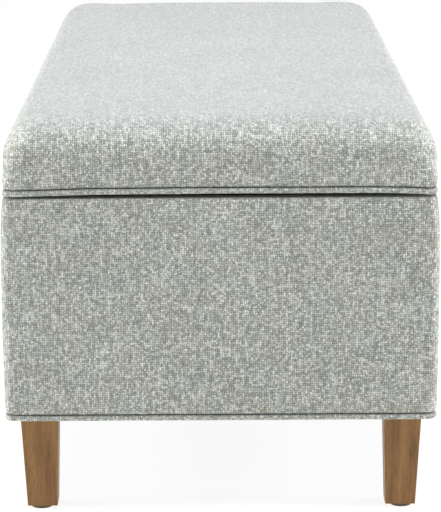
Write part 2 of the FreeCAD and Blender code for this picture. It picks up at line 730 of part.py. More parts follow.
def make_hinges():
    """Three butt hinges, with the screws of both leaves; gives the holes in base and lid."""
    names = ("left", "middle", "right")
    base_screws, lid_screws, base_holes, lid_holes = [], [], [], []
    screw_y = back - rim_middle
    base_leaf_low = d.rim_height
    lid_leaf_low = lid_low - d.leaf_thickness
    for place_number, name in enumerate(names):
        x = (place_number - 1) * d.hinge_spacing
        own = {"base": [], "lid": []}
        for step in (-1, 0, 1):
            at = x + step * d.hinge_screw_pitch
            down = (at, screw_y, base_leaf_low + d.leaf_thickness)
            item, hole = screw(f"hinge_screw_base_{name}{step + 1}", down, "-z", "hinge",
                               d.hinge_screw_length)
            base_screws.append(item)
            own["base"].append(hole)
            up = (at, screw_y, lid_leaf_low)
            item, hole = screw(f"hinge_screw_lid_{name}{step + 1}", up, "+z", "hinge",
                               d.hinge_screw_length)
            lid_screws.append(item)
            own["lid"].append(hole)
        make_leaf(f"{name}_hinge_base_leaf", x, (0, 2, 4), base_leaf_low, own["base"])
        make_leaf(f"{name}_hinge_lid_leaf", x, (1, 3), lid_leaf_low, own["lid"])
        start = (x - 0.5 * d.hinge_width - d.pin_head_height, hinge_y, hinge_z)
        pin = stepped(f"{name}_hinge_pin", start, "+x", [
            (d.pin_head_radius, d.pin_head_height), (d.hinge_pin, d.hinge_width),
            (d.pin_head_radius, d.pin_head_height)])
        keep(pin, f"{name}_hinge_pin")
        base_holes += own["base"]
        lid_holes += own["lid"]
    keep(group("base_hinge_screws", base_screws), "base_hinge_screws")
    keep(group("lid_hinge_screws", lid_screws), "lid_hinge_screws")
    return base_holes, lid_holes


# A stay is four pivots at the corners of a parallelogram, so its arms turn exactly as the lid does.
base_pivot = (hinge_y - d.stay_base_reach, hinge_z - d.stay_base_drop)
lid_pivot = (hinge_y - d.stay_lid_reach, hinge_z - d.stay_lid_drop)
knee = (base_pivot[0] - d.stay_lid_reach, base_pivot[1] - d.stay_lid_drop)
lower_arm_in = d.stay_plate + d.stay_gap
upper_arm_in = lower_arm_in + d.stay_arm + d.stay_gap
flange_in = upper_arm_in + d.stay_arm + d.stay_gap


def inward(side, start, end):
    """The low and high X of a layer given by its distances from an end wall of the room."""
    wall = half_length - room_in
    if side > 0:
        return wall - end, wall - start
    return start - wall, end - wall


def plate_body(name, side, start, thickness):
    """A body and a sketch across the bench, at a layer's distance from an end wall."""
    body = document.addObject("PartDesign::Body", name)
    low, _ = inward(side, start, start + thickness)
    return body, new_sketch(body, name + "_outline", "YZ_Plane", low)


def make_arm(node, side, start, first, second, hole_radii):
    body, sketch = plate_body(node, side, start, d.stay_arm)
    draw_arm(sketch, first, second, d.arm_radius)
    for centre, radius in zip((first, second), hole_radii):
        draw_circle(sketch, centre, radius)
    pad(body, sketch, d.stay_arm)
    keep(body, node)


def make_rivet(name, side, pivot, start, steps):
    """Stacked cylinders through a pivot, from a distance off the wall towards the room."""
    x = side * (half_length - room_in - start)
    return stepped(name, (x, *pivot), "-x" if side > 0 else "+x", steps)


def two_headed(name, side, pivot, first_layer):
    """A rivet through two layers, with a little play under each head."""
    play = 0.5 * d.stay_gap
    head = (d.rivet_radius, d.rivet_height)
    shank = (d.stay_pin, 2 * d.stay_arm + d.stay_gap + 2 * play)
    start = first_layer - play - d.rivet_height
    return make_rivet(name, side, pivot, start, [head, shank, head])


def make_base_bracket(name, side):
    """The plate on the end wall that carries the lower arm; gives its pin, screws and holes."""
    plate, sketch = plate_body(name + "_stay_base_plate", side, as_size(0), d.stay_plate)
    reach = d.bracket_half
    draw_outline(sketch, (base_pivot[0] - reach, base_pivot[1] - reach),
                 (base_pivot[0] + reach, base_pivot[1] + reach), d.bracket_round)
    draw_circle(sketch, base_pivot, d.stay_pin + d.fit_clearance)
    pad(plate, sketch, d.stay_plate)
    screws, holes = [], []
    x = side * (half_length - room_in - d.stay_plate)
    for up in (-1, 1):
        point = (x, base_pivot[0] + d.bracket_screw_out, base_pivot[1] + up * d.bracket_screw_out)
        item, hole = screw(f"{name}_bracket_screw{up + 1}", point, "+x" if side > 0 else "-x",
                           "bracket", d.bracket_screw_length)
        screws.append(item)
        holes.append(hole)
    keep(cut(name + "_stay_base_bracket", plate, holes), name + "_stay_base_bracket")
    inset = d.fit_clearance
    shank = lower_arm_in + d.stay_arm + 0.5 * d.stay_gap - inset
    pin = make_rivet(name + "_base_pin", side, base_pivot, inset, [
        (d.stay_pin, shank), (d.rivet_radius, d.rivet_height)])
    return pin, screws, holes


def make_arms(name, side):
    tight = d.stay_pin + d.fit_clearance
    loose = d.stay_pin + d.open_pivot_clearance
    make_arm(name + "_stay_lower_arm", side, lower_arm_in, base_pivot, knee, (tight, tight))
    make_arm(name + "_stay_upper_arm", side, upper_arm_in, knee, lid_pivot, (tight, loose))
    node = name + "_stay_knee_rivet"
    keep(two_headed(node, side, knee, lower_arm_in), node)


def make_lid_bracket(name, side):
    """A seat screwed under the lid with a wing that hangs down to the lid pivot."""
    bracket = document.addObject("PartDesign::Body", name + "_lid_bracket_body")
    low_x, high_x = inward(side, flange_in, flange_in + d.flange_width)
    seat = new_sketch(bracket, name + "_lid_seat", "XY_Plane", lid_low - d.stay_plate)
    draw_outline(seat, (low_x, lid_pivot[0] - d.flange_half),
                 (high_x, lid_pivot[0] + d.flange_half))
    pad(bracket, seat, d.stay_plate)
    wing_x, _ = inward(side, flange_in, flange_in + d.stay_arm)
    wing = new_sketch(bracket, name + "_lid_wing", "YZ_Plane", wing_x)
    draw_outline(wing, (lid_pivot[0] - d.arm_radius, lid_pivot[1] - d.arm_radius),
                 (lid_pivot[0] + d.arm_radius, lid_low - 0.5 * d.stay_plate))
    draw_circle(wing, lid_pivot, d.stay_pin + d.fit_clearance)
    pad(bracket, wing, d.stay_arm)
    screws, holes = [], []
    x = side * (half_length - room_in - flange_in - d.flange_screw_in)
    for way in (-1, 1):
        point = (x, lid_pivot[0] + way * d.bracket_screw_out, lid_low - d.stay_plate)
        item, hole = screw(f"{name}_flange_screw{way + 1}", point, "+z", "bracket",
                           d.bracket_screw_length)
        screws.append(item)
        holes.append(hole)
    keep(cut(name + "_stay_lid_bracket", bracket, holes), name + "_stay_lid_bracket")
    return two_headed(name + "_lid_pin", side, lid_pivot, upper_arm_in), screws, holes


def make_stays(tools, lining_holes, lid_holes):
    base_pins, base_screws, lid_pins, lid_screws = [], [], [], []
    for side, name in ((-1, "left"), (1, "right")):
        pin, screws, holes = make_base_bracket(name, side)
        base_pins.append(pin)
        base_screws += screws
        tools[name + "_panel"] += holes
        lining_holes += holes
        make_arms(name, side)
        pin, screws, holes = make_lid_bracket(name, side)
        lid_pins.append(pin)
        lid_screws += screws
        lid_holes += holes
    keep(group("stay_bracket_screws", base_screws), "stay_bracket_screws")
    keep(group("stay_flange_screws", lid_screws), "stay_flange_screws")
    keep(group("stay_base_pins", base_pins), "stay_base_pins")
    keep(group("stay_lid_pins", lid_pins), "stay_lid_pins")


def build():
    boards, tools = make_boards()
    dust_holes = make_blocks(tools)
    make_floor()
    make_padding()
    base_holes, lid_holes = make_hinges()
    tools["back_panel"] += base_holes
    lining_holes = []
    make_stays(tools, lining_holes, lid_holes)
    for node, board in boards.items():
        keep(cut(node, board, tools[node]), node)
    make_base_cloth(base_holes, dust_holes, lining_holes)
    make_legs()
    make_lid(lid_holes)
    document.recompute()


def check_and_write():
    bad = [item.Name for item in document.Objects
           if {"Invalid", "Error"} & set(item.State)]
    if bad:
        raise RuntimeError(f"failed objects: {bad}")
    for node, item in sub_parts.items():
        shape = item.Shape
        if shape.isNull() or not shape.isValid() or not shape.Solids:
            raise RuntimeError(f"{node} has no valid solid")
    os.makedirs("parts", exist_ok=True)
    for node, item in sub_parts.items():
        item.Shape.exportStep(f"parts/{node}.step")
        sizes = item.Shape.BoundBox
        print(f"{node}: {len(item.Shape.Solids)} solids, volume {item.Shape.Volume:.0f}, "
              f"x {sizes.XMin:.1f}..{sizes.XMax:.1f} y {sizes.YMin:.1f}..{sizes.YMax:.1f} "
              f"z {sizes.ZMin:.1f}..{sizes.ZMax:.1f}")
    print(len(sub_parts), "sub-parts")


build()
check_and_write()
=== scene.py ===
import json
import math

import bpy
import numpy as np
from mathutils import Matrix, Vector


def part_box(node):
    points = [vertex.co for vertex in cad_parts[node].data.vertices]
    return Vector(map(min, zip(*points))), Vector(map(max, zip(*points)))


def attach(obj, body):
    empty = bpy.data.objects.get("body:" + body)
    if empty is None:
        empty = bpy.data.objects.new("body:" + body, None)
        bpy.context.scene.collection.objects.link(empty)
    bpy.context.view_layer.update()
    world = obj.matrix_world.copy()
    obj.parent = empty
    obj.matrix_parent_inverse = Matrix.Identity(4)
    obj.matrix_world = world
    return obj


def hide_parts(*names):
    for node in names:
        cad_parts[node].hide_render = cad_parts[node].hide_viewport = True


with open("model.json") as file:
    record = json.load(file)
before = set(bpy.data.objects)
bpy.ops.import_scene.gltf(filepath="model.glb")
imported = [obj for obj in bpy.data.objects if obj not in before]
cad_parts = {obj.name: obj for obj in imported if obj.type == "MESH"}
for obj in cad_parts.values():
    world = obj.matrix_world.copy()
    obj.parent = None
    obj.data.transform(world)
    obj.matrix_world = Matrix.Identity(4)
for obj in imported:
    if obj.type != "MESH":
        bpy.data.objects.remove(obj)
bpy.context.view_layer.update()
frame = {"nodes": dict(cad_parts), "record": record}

# Storage ottoman: a linen-covered box and lid, four wooden legs, hinges and stays.
# Metres, in the frame of the model: X along the bench, -Y the front, Z up.

nodes = frame["nodes"]
nodeSlots = {part["node"]: part["material_slot"] for part in frame["record"]["subparts"]}
baseLow, baseHigh = (np.array(corner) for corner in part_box("base_cover"))
lidLow, lidHigh = (np.array(corner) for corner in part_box("lid_cover"))
half = 0.5 * (baseHigh - baseLow)[:2]
middle = 0.5 * (baseHigh + baseLow)[:2]
rim = baseHigh[2]
lidTop = lidHigh[2]
print("frame loaded:", len(nodes), "nodes")


class Wire:
    # A shader value. Sums, products and powers of wires add Math nodes.
    def __init__(self, finish, socket):
        self.finish = finish
        self.socket = socket

    def maths(self, operation, *others):
        settings = {"operation": operation}
        inputs = {place: value for place, value in enumerate((self, *others))}
        return self.finish.node("ShaderNodeMath", settings, inputs)

    def __add__(self, other):
        return self.maths("ADD", other)

    __radd__ = __add__

    def __mul__(self, other):
        return self.maths("MULTIPLY", other)

    __rmul__ = __mul__

    def __sub__(self, other):
        return self.maths("SUBTRACT", other)

    def __rsub__(self, other):
        return self.finish.node("ShaderNodeMath", {"operation": "SUBTRACT"}, {0: other, 1: self})

    def __truediv__(self, other):
        return self.maths("DIVIDE", other)

    def __pow__(self, other):
        return self.maths("POWER", other)

    def clamp(self):
        return self.maths("MAXIMUM", 0.0).maths("MINIMUM", 1.0)


class Finish:
    # One material, or the world, and the nodes in it.
    def __init__(self, name, owner=None):
        self.material = owner or bpy.data.materials.new(name)
        self.material.use_nodes = True
        self.tree = self.material.node_tree
        self.tree.nodes.clear()

    def node(self, kind, settings=None, inputs=None, output=0):
        made = self.tree.nodes.new(kind)
        for key, value in (settings or {}).items():
            if key == "stops":
                ramp = made.color_ramp
                while len(ramp.elements) < len(value):
                    ramp.elements.new(0.5)
                for element, (position, shade) in zip(ramp.elements, value):
                    element.position = position
                    element.color = (*shade, 1.0)
            else:
                setattr(made, key, value)
        for key, value in (inputs or {}).items():
            if isinstance(value, Wire):
                self.tree.links.new(value.socket, made.inputs[key])
            else:
                made.inputs[key].default_value = value
        if output is None or not made.outputs:
            return made
        return Wire(self, made.outputs[output])

    def split(self, vector):
        made = self.node("ShaderNodeSeparateXYZ", {}, {0: vector}, None)
        return [Wire(self, socket) for socket in made.outputs]

    def join(self, x, y, z):
        return self.node("ShaderNodeCombineXYZ", {}, {0: x, 1: y, 2: z})

    def noise(self, vector, scale, detail=2.0, roughness=0.5):
        return self.node("ShaderNodeTexNoise", {}, {
            "Vector": vector, "Scale": scale, "Detail": detail, "Roughness": roughness})

    def blend(self, factor, first, second, kind="MIX"):
        first, second = (shade if isinstance(shade, Wire) else (*shade, 1.0)
                         for shade in (first, second))
        return self.node("ShaderNodeMix", {"data_type": "RGBA", "blend_type": kind},
                         {0: factor, 6: first, 7: second}, 2)

    def surface(self, fixed, varying, height=None, strength=0.5, distance=0.001):
        inputs = dict(fixed)
        inputs.update(varying)
        if height is not None:
            inputs["Normal"] = self.node("ShaderNodeBump", {}, {
                "Strength": strength, "Distance": distance, "Height": height})
        shader = self.node("ShaderNodeBsdfPrincipled", {}, inputs)
        self.node("ShaderNodeOutputMaterial", {}, {"Surface": shader})
        return self.material


linen = {
    "warpPitch": 0.0023,      # from one upright yarn to the next
    "weftPitch": 0.0024,
    "shadow": (0.150, 0.158, 0.132),   # between the yarns
    "yarn": (0.400, 0.415, 0.370),
    "paleYarn": (0.860, 0.870, 0.810),
    "olive": (0.450, 0.445, 0.330),
    "blueGrey": (0.370, 0.430, 0.410),
    "relief": 0.0007,
    "wearAndTopLight": (0.292, 0.292, 0.312),     # level cloth, evened and cooled: painted top light, where the light from above falls on it
}


def linenCloth(name, sizes):
    # Plain weave of uneven yarns. Yarn height is the root of a sine across it, raised or
    # lowered by the product of both sines, so that the yarns pass over and under by turns.
    cloth = Finish(name)
    place = cloth.node("ShaderNodeUVMap", {"uv_map": "weave"})
    u, v, _ = cloth.split(place)
    wanderU = cloth.noise(place, 150.0, 3.0, 0.6)
    wanderV = cloth.noise(cloth.join(v, u, 4.0), 150.0, 3.0, 0.6)
    across = u / sizes["warpPitch"] + (wanderU - 0.5) * 2.2
    along = v / sizes["weftPitch"] + (wanderV - 0.5) * 2.2
    sineU = (across * math.pi).maths("SINE")
    sineV = (along * math.pi).maths("SINE")
    lean = sineU * sineV
    over = sineU.maths("ABSOLUTE") ** 0.6 * (lean * 0.5 + 0.5)
    under = sineV.maths("ABSOLUTE") ** 0.6 * (0.5 - lean * 0.5)
    height = over.maths("MAXIMUM", under)
    warpNumber = across.maths("FLOOR")
    weftNumber = along.maths("FLOOR")
    warpSlub = cloth.noise(cloth.join(warpNumber * 3.7, v * 210.0, 1.3), 1.0, 3.0, 0.6)
    weftSlub = cloth.noise(cloth.join(u * 280.0, weftNumber * 3.9, 7.1), 1.0, 3.0, 0.6)
    streak = cloth.noise(cloth.join(u * 300.0, v * 38.0, 2.2), 1.0, 2.0)
    speck = cloth.node("ShaderNodeTexWhiteNoise", {"noise_dimensions": "3D"}, {
        "Vector": cloth.join(warpNumber, weftNumber, 0.0)})
    onTop = (over - under) * 6.0 + 0.5
    onTop = onTop.clamp()
    slub = (warpSlub * 1.25 - 0.125) * onTop + weftSlub * (1.0 - onTop)
    shade = (slub - 0.5) * 2.05 + (speck - 0.5) * 0.65 + (streak - 0.5) * 1.15 + 0.37
    shade = shade.clamp()
    mottle = cloth.noise(place, 26.0, 2.0)
    drift = cloth.noise(place, 7.0, 1.0)
    warmth = ((mottle - 0.36) * 3.6).clamp()
    tint = cloth.blend(warmth, sizes["blueGrey"], sizes["olive"])
    plain = cloth.blend(0.42, sizes["yarn"], tint)
    lit = cloth.blend(shade, plain, sizes["paleYarn"])
    depth = (height * 1.75 - 0.22 + (speck - 0.5) * 0.5).clamp()
    colour = cloth.blend(depth, sizes["shadow"], lit)
    # painted top light: cloth that faces up is blended towards an even, cooler tone, as the light
    # from above falls on it
    facing = cloth.split(cloth.node("ShaderNodeTexCoord", {}, {}, "Normal"))[2]
    level = ((facing - 0.55) * 2.2).clamp()
    colour = cloth.blend(level * 0.45, colour, sizes["wearAndTopLight"])
    dim = 0.93 + drift * 0.14
    colour = cloth.blend(1.0, colour, cloth.join(dim, dim, dim), "MULTIPLY")
    return cloth.surface(
        {"Specular IOR Level": 0.25, "Sheen Weight": 0.35, "Sheen Roughness": 0.4},
        {"Base Color": colour, "Roughness": 0.92 - shade * 0.12},
        height * 0.8 + shade * 0.2, 0.8, sizes["relief"])


def twillCloth(name, dark, light, pitch=0.0011):
    # Plain lining: fine diagonal ribs with a little unevenness.
    cloth = Finish(name)
    place = cloth.node("ShaderNodeUVMap", {"uv_map": "weave"})
    u, v, _ = cloth.split(place)
    rib = ((u + v) * (2 * math.pi / pitch)).maths("SINE") * 0.5 + 0.5
    cross = ((u - v) * (2 * math.pi / (pitch * 0.7))).maths("SINE") * 0.5 + 0.5
    fuzz = cloth.noise(place, 900.0, 2.0)
    wearAndTopLight = cloth.noise(place, 11.0, 3.0)
    height = rib * 0.6 + cross * 0.4
    shade = (height * 0.5 + fuzz * 0.35 + (wearAndTopLight - 0.5) * 0.5).clamp()
    colour = cloth.blend(shade, dark, light)
    return cloth.surface(
        {"Specular IOR Level": 0.2, "Sheen Weight": 0.2},
        {"Base Color": colour, "Roughness": 0.95 - height * 0.1}, height, 0.5, 0.0002)


def feltCloth(name, dark, light, grain):
    # Non-woven cloth, foam or wadding: fine cells over soft blotches.
    cloth = Finish(name)
    place = cloth.node("ShaderNodeTexCoord", {}, {}, "Object")
    cells = cloth.node("ShaderNodeTexVoronoi", {}, {"Vector": place, "Scale": grain}, "Distance")
    blotch = cloth.noise(place, grain * 0.04, 3.0)
    shade = (cells * 0.8 + blotch * 0.4 - 0.1).clamp()
    return cloth.surface(
        {"Specular IOR Level": 0.2},
        {"Base Color": cloth.blend(shade, dark, light), "Roughness": 0.97 - cells * 0.1},
        cells, 0.5, 0.0004)


legWood = {
    "dark": (0.181, 0.083, 0.025),
    "ground": (0.283, 0.140, 0.044),
    "light": (0.390, 0.205, 0.071),
    "pore": (0.085, 0.045, 0.022),
}


def stainedWood(name, sizes, stretch=(1.0, 1.0, 0.06), gloss=0.42):
    # Straight grain: noise drawn out along the length, with fine dark pores.
    wood = Finish(name)
    place = wood.node("ShaderNodeTexCoord", {}, {}, "Object")
    drawn = wood.node("ShaderNodeMapping", {}, {"Vector": place, "Scale": stretch})
    bend = wood.noise(place, 9.0, 1.0)
    moved = wood.node("ShaderNodeVectorMath", {"operation": "ADD"}, {
        0: drawn, 1: wood.join((bend - 0.5) * 0.012, (bend - 0.5) * 0.012, 0.0)})
    bands = wood.noise(moved, 95.0, 4.0, 0.6)
    fine = wood.noise(moved, 620.0, 3.0, 0.6)
    poreNoise = wood.noise(moved, 1500.0, 1.0)
    pores = ((poreNoise - 0.60) * 9.0).clamp()
    figure = ((bands - 0.5) * 1.9 + (fine - 0.5) * 0.9 + 0.5)
    figure = figure.clamp()
    stained = wood.node("ShaderNodeValToRGB", {"stops": [
        (0.0, sizes["dark"]), (0.5, sizes["ground"]), (1.0, sizes["light"])]}, {"Fac": figure})
    colour = wood.blend(pores * 0.55, stained, sizes["pore"])
    return wood.surface(
        {"Specular IOR Level": 0.35},
        {"Base Color": colour, "Roughness": gloss + (fine - 0.5) * 0.2 + pores * 0.2},
        1.0 - pores * 0.8 + fine * 0.2, 0.25, 0.0003)


def platedSteel(name, dark, light, grain, rough):
    # Plated sheet: faint spangle and handling marks in colour and gloss.
    steel = Finish(name)
    place = steel.node("ShaderNodeTexCoord", {}, {}, "Object")
    spangle = steel.node("ShaderNodeTexVoronoi", {}, {"Vector": place, "Scale": grain}, "Color")
    marks = steel.noise(place, 260.0, 4.0, 0.6)
    shade = steel.split(spangle)[0] * 0.35 + marks * 0.5
    return steel.surface(
        {"Metallic": 1.0},
        {"Base Color": steel.blend(shade, dark, light), "Roughness": rough + (marks - 0.5) * 0.25},
        marks, 0.15, 0.0002)


def mouldedPlastic(name, dark, light, rough):
    plastic = Finish(name)
    place = plastic.node("ShaderNodeTexCoord", {}, {}, "Object")
    grain = plastic.noise(place, 1400.0, 2.0)
    scuff = plastic.noise(place, 120.0, 4.0, 0.65)
    return plastic.surface(
        {"Specular IOR Level": 0.4},
        {"Base Color": plastic.blend(scuff, dark, light), "Roughness": rough + (scuff - 0.5) * 0.2},
        grain, 0.3, 0.0002)


finishes = {
    "upholstery": linenCloth("sageLinen", linen),
    "lining": twillCloth("greyLiningTwill", (0.045, 0.046, 0.048), (0.135, 0.137, 0.140)),
    "dust_cloth": feltCloth("blackDustCloth", (0.010, 0.010, 0.011), (0.035, 0.035, 0.037), 900.0),
    "foam": feltCloth("creamFoam", (0.52, 0.47, 0.34), (0.80, 0.76, 0.62), 1100.0),
    "wadding": feltCloth("whiteWadding", (0.66, 0.66, 0.64), (0.88, 0.88, 0.86), 500.0),
    "leg_wood": stainedWood("stainedLegWood", legWood),
    "plywood": stainedWood("birchPlywood", {
        "dark": (0.42, 0.29, 0.17), "ground": (0.58, 0.43, 0.27),
        "light": (0.68, 0.53, 0.36), "pore": (0.30, 0.19, 0.10)}, (0.06, 1.0, 1.0), 0.6),
    "softwood": stainedWood("planedPine", {
        "dark": (0.48, 0.32, 0.17), "ground": (0.62, 0.46, 0.28),
        "light": (0.72, 0.57, 0.37), "pore": (0.40, 0.25, 0.12)}, (0.06, 1.0, 1.0), 0.6),
    "zinc_steel": platedSteel("zincPlate", (0.42, 0.43, 0.44), (0.74, 0.74, 0.73), 420.0, 0.34),
    "hinge_steel": platedSteel("hingePlate", (0.34, 0.34, 0.35), (0.62, 0.62, 0.61), 300.0, 0.38),
    "rubber": mouldedPlastic("blackRubber", (0.018, 0.018, 0.019), (0.045, 0.045, 0.046), 0.7),
    "glide_plastic": mouldedPlastic("brownNylon", (0.085, 0.056, 0.032), (0.150, 0.100, 0.060), 0.45),
}
for name, node in nodes.items():
    for place in node.material_slots:
        place.material = finishes[nodeSlots[name]]
print("finishes made:", len(finishes))


def makePiece(name, points, faces, uvs, body, slotName, stoodFor=(), thick=0.0):
    # points (n, 3), faces (m, 4) and uvs (m, 4, 2) become one smooth piece.
    mesh = bpy.data.meshes.new(name)
    mesh.vertices.add(len(points))
    mesh.vertices.foreach_set("co", np.asarray(points, np.float32).ravel())
    mesh.loops.add(faces.size)
    mesh.loops.foreach_set("vertex_index", faces.astype(np.int32).ravel())
    mesh.polygons.add(len(faces))
    mesh.polygons.foreach_set("loop_start", np.arange(0, faces.size, 4, dtype=np.int32))
    mesh.polygons.foreach_set("use_smooth", np.ones(len(faces), bool))
    mesh.update(calc_edges=True)
    layer = mesh.uv_layers.new(name="weave")
    layer.data.foreach_set("uv", uvs.astype(np.float32).ravel())
    mesh.materials.append(finishes[slotName])
    mesh.validate()
    piece = bpy.data.objects.new(name, mesh)
    bpy.context.scene.collection.objects.link(piece)
    if thick:
        wall = piece.modifiers.new("clothThickness", "SOLIDIFY")
        wall.thickness, wall.offset = thick, -1.0
    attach(piece, body)
    if stoodFor:
        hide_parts(*stoodFor)
    return piece


def gridFaces(rows, columns, closed=False):
    # Quads of a grid whose points are stored row by row. A closed grid joins its last column
    # to its first.
    last = columns if closed else columns - 1
    row, column = np.meshgrid(np.arange(rows - 1), np.arange(last), indexing="ij")
    after = (column + 1) % columns
    a, b = row * columns + column, row * columns + after
    return np.stack([a, b, b + columns, a + columns], axis=-1).reshape(-1, 4)


def ringFaces(rows, columns):
    # Quads of a grid closed both ways, such as a tube that meets itself.
    row, column = np.meshgrid(np.arange(rows), np.arange(columns), indexing="ij")
    up, after = (row + 1) % rows, (column + 1) % columns
    a, b = row * columns + column, row * columns + after
    c, e = up * columns + after, up * columns + column
    return np.stack([a, b, c, e], axis=-1).reshape(-1, 4)


def outlinePath(corner, stepLong, stepShort, turns):
    # Goes once round the plan, from the middle of the +X end towards +Y. Each point has its
    # place between the corner centres, as two shares, and the direction it faces.
    spanX, spanY = half[0] - corner, half[1] - corner
    longSteps = 2 * int(round(spanX / stepLong))
    shortSteps = 2 * int(round(spanY / stepShort))
    shareX, shareY, facing = [], [], []
    corners = [(1, -1), (1, 1), (-1, 1), (-1, -1)]
    for side in range(4):
        (x0, y0), (x1, y1) = corners[side], corners[(side + 1) % 4]
        along = np.linspace(0, 1, (shortSteps if side % 2 == 0 else longSteps) + 1)
        shareX += [x0 + (x1 - x0) * along, np.full(turns - 1, float(x1))]
        shareY += [y0 + (y1 - y0) * along, np.full(turns - 1, float(y1))]
        turn = (np.arange(1, turns) / turns + side) * math.pi / 2
        facing += [np.full(len(along), side * math.pi / 2), turn]
    return np.concatenate(shareX), np.concatenate(shareY), np.concatenate(facing)


def ringPoints(path, corner, inset, grow=0.0):
    # Plan points of the outline drawn in by an inset and pushed out by grow: the corner
    # centre plus the corner's remaining radius in the direction faced.
    shareX, shareY, facing = path
    inset = np.asarray(inset, float)[:, None]
    centre = np.maximum(corner, inset)
    radius = np.maximum(corner - inset, 0.0) + grow
    x = middle[0] + shareX * (half[0] - centre) + radius * np.cos(facing)
    y = middle[1] + shareY * (half[1] - centre) + radius * np.sin(facing)
    return x, y


def ripple(a, b, length, seed):
    # Soft random waves: a sum of sines whose directions and lengths come from a seed.
    chance = np.random.default_rng(seed)
    total = np.zeros(np.broadcast(a, b).shape)
    for _ in range(7):
        turn = chance.uniform(0, math.pi)
        size = chance.uniform(0.6, 1.7)
        start = chance.uniform(0, 6.3)
        wave = 2 * math.pi / (length * size)
        total = total + np.sin(wave * (a * math.cos(turn) + b * math.sin(turn)) + start)
    return total / 7.0


def sideUvs(faces, x, y, v, facing):
    # The weave runs level round the sides: Y across an end, X across a long side.
    onEnd = np.abs(np.cos(facing)) >= np.abs(np.sin(facing))
    u = np.where(onEnd[:, None], y.ravel()[faces], x.ravel()[faces] + 3.0)
    return np.stack([u, v.ravel()[faces]], axis=-1)


def swell(piece, held, sizes):
    # Cloth under pressure, held where held is 1, moves the points. What it moves each one
    # by is kept below a cap: cap * tanh(moved / cap).
    scene = bpy.context.scene
    mesh = piece.data
    before = np.empty(len(mesh.vertices) * 3, np.float32)
    mesh.vertices.foreach_get("co", before)
    before = before.reshape(-1, 3)
    group = piece.vertex_groups.new(name="held")
    for weight in np.unique(np.round(held, 1)):
        if weight > 0:
            which = np.flatnonzero(np.abs(held - weight) < 0.051)
            group.add([int(i) for i in which], float(weight), "REPLACE")
    hidden = list(piece.modifiers)
    for modifier in hidden:
        modifier.show_viewport = False
    cloth = piece.modifiers.new("cloth", "CLOTH")
    cloth.settings.quality = 5
    cloth.settings.mass = 0.3
    cloth.settings.tension_stiffness = sizes["stretch"]
    cloth.settings.compression_stiffness = sizes["stretch"]
    cloth.settings.shear_stiffness = sizes["stretch"]
    cloth.settings.bending_stiffness = sizes["bending"]
    cloth.settings.use_pressure = True
    cloth.settings.uniform_pressure_force = sizes["pressure"]
    cloth.settings.effector_weights.gravity = 0.0
    cloth.settings.vertex_group_mass = "held"
    cloth.collision_settings.use_collision = False
    cloth.point_cache.frame_start, cloth.point_cache.frame_end = 1, 20
    for step in range(1, 21):
        scene.frame_set(step)
        evaluated = piece.evaluated_get(bpy.context.evaluated_depsgraph_get())
    after = np.empty(len(evaluated.data.vertices) * 3, np.float32)
    evaluated.data.vertices.foreach_get("co", after)
    moved = after.reshape(-1, 3) - before
    piece.modifiers.remove(cloth)
    piece.vertex_groups.remove(group)
    scene.frame_set(1)
    far = np.linalg.norm(moved, axis=1, keepdims=True)
    kept = moved / np.maximum(far, 1e-9) * (sizes["cap"] * np.tanh(far / sizes["cap"]))
    mesh.vertices.foreach_set("co", (before + kept).ravel())
    for modifier in hidden:
        modifier.show_viewport = True
    mesh.update()
    print("swelled", piece.name, "by up to", round(float(far.max()) * 1000, 2), "mm")


def innerLayer(name, source, wanted, gap, thick, body, slotName, stoodFor):
    # The stuffing under a cover: the cover's wanted faces, each point moved in along its
    # normal by the gap, and given a thickness.
    mesh = source.data
    points = np.empty(len(mesh.vertices) * 3, np.float32)
    normals = np.empty(len(mesh.vertices) * 3, np.float32)
    faces = np.empty(len(mesh.polygons) * 4, np.int32)
    mesh.vertices.foreach_get("co", points)
    mesh.vertices.foreach_get("normal", normals)
    mesh.loops.foreach_get("vertex_index", faces)
    points, normals = points.reshape(-1, 3), normals.reshape(-1, 3)
    faces = faces.reshape(-1, 4)
    faces = faces[wanted(points)[faces].all(axis=1)]
    used, faces = np.unique(faces, return_inverse=True)
    faces = faces.reshape(-1, 4)
    points = (points - normals * gap)[used]
    uvs = points[:, :2][faces]
    return makePiece(name, points, faces, uvs, body, slotName, stoodFor, thick)


baseCloth = {
    "corner": 0.012,
    "seamHeight": 0.0062,     # seam above the underside of the base
    "swellOut": 0.0014,       # the faces at their fullest, above the middle
    "drawIn": 0.0014,         # the faces at the bottom seam, from their fullest
    "rimDraw": 0.0030,        # the faces at the rim, from their fullest
    "rimRound": 0.0042,
    "crease": 0.0011,         # depth of the upright lines at the corners
    "sim": {"pressure": 2.5, "stretch": 15.0, "bending": 1.5, "cap": 0.0012},
}


lidSeam = {
    "dip": (0.0024, 0.0019),      # sag at the front and back corners
    "reach": (0.075, 0.036),      # how far from the corner it dies away
    "ripple": 0.0004,
}


def seamWave(x, y):
    # How far the lid's seam sags: a bell curve of the distance from the nearest corner,
    # with a faint ripple between.
    fromCorner = (half[0] - np.abs(x - middle[0])) + (half[1] - np.abs(y - middle[1]))
    frontSide = y < middle[1]
    dip = np.where(frontSide, *lidSeam["dip"])
    reach = np.where(frontSide, *lidSeam["reach"])
    sag = -dip * np.exp(-(fromCorner / reach) ** 2)
    return sag + lidSeam["ripple"] * ripple(x, y, 0.21, 5)


